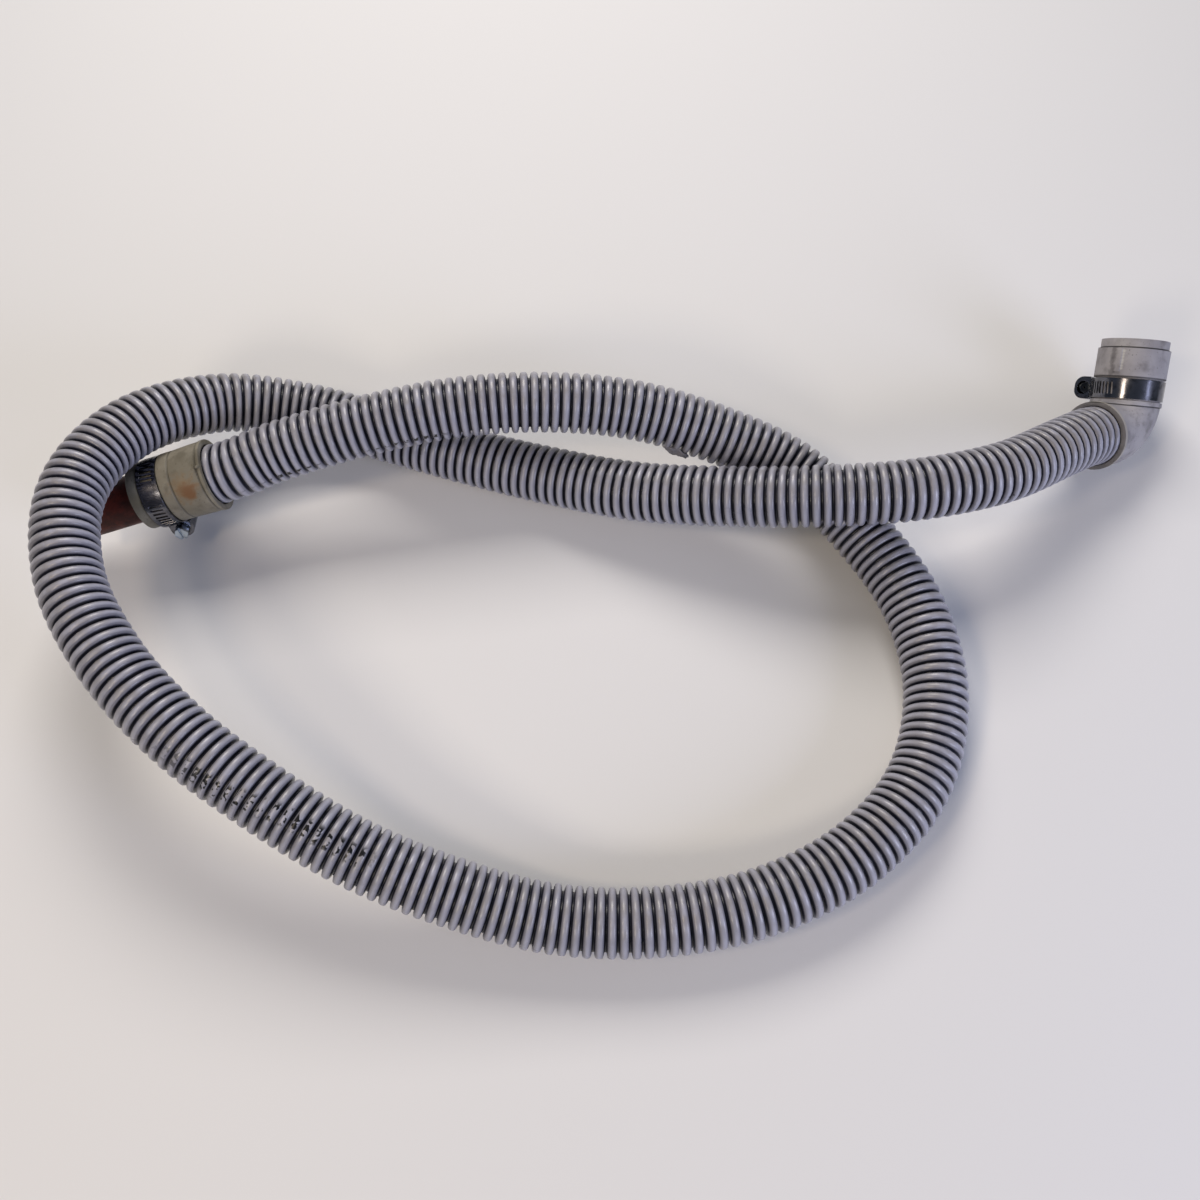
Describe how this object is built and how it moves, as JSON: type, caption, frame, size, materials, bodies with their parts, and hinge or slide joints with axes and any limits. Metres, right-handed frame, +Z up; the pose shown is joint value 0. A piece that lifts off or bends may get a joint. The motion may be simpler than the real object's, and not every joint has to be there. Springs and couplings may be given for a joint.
{
  "type": "dishwasher drain hose",
  "caption": "Used grey corrugated dishwasher drain hose in a loose loop, with a straight cuff on a copper tube stub, an elbow cuff, and a worm-drive clamp on each.",
  "frame": {"origin": "On the surface that the hose lies on, below the middle of the whole object's box.", "axes": "+Z up from the surface; +X to the picture's right, along the longest extent, towards the elbow; +Y away from the camera."},
  "size_m": [0.5038, 0.2714, 0.0758],
  "materials": {
    "hose_plastic": "satin grey polypropylene",
    "straight_cuff_rubber": "aged grey-beige moulded rubber, rust stained",
    "elbow_rubber": "grey moulded rubber, satin",
    "clamp_steel": "polished stainless strip",
    "screw_steel": "zinc plated",
    "tarnished_copper": "dark red-brown tarnished copper"
  },
  "bodies": {
    "hose_assembly": {"corrugated_hose": "hose_plastic", "straight_cuff": "straight_cuff_rubber", "copper_pipe_stub": "tarnished_copper", "straight_clamp_band": "clamp_steel", "straight_clamp_housing": "clamp_steel", "elbow_cuff": "elbow_rubber", "elbow_clamp_band": "clamp_steel", "elbow_clamp_housing": "clamp_steel"},
    "straight_screw": {"straight_clamp_screw": "screw_steel"},
    "elbow_screw": {"elbow_clamp_screw": "screw_steel"}
  },
  "joints": [
    {"name": "straight_screw_turn", "type": "hinge", "parent": "hose_assembly", "child": "straight_screw", "pos_m": [-0.20677, 0.06435, 0.01407], "axis": [0.0988, -0.9108, 0.4008], "range_deg": [-150, 1110]},
    {"name": "elbow_screw_turn", "type": "hinge", "parent": "hose_assembly", "child": "elbow_screw", "pos_m": [0.22234, 0.11892, 0.01269], "axis": [0.7648, 0.2922, -0.5742], "range_deg": [-150, 1110]}
  ]
}
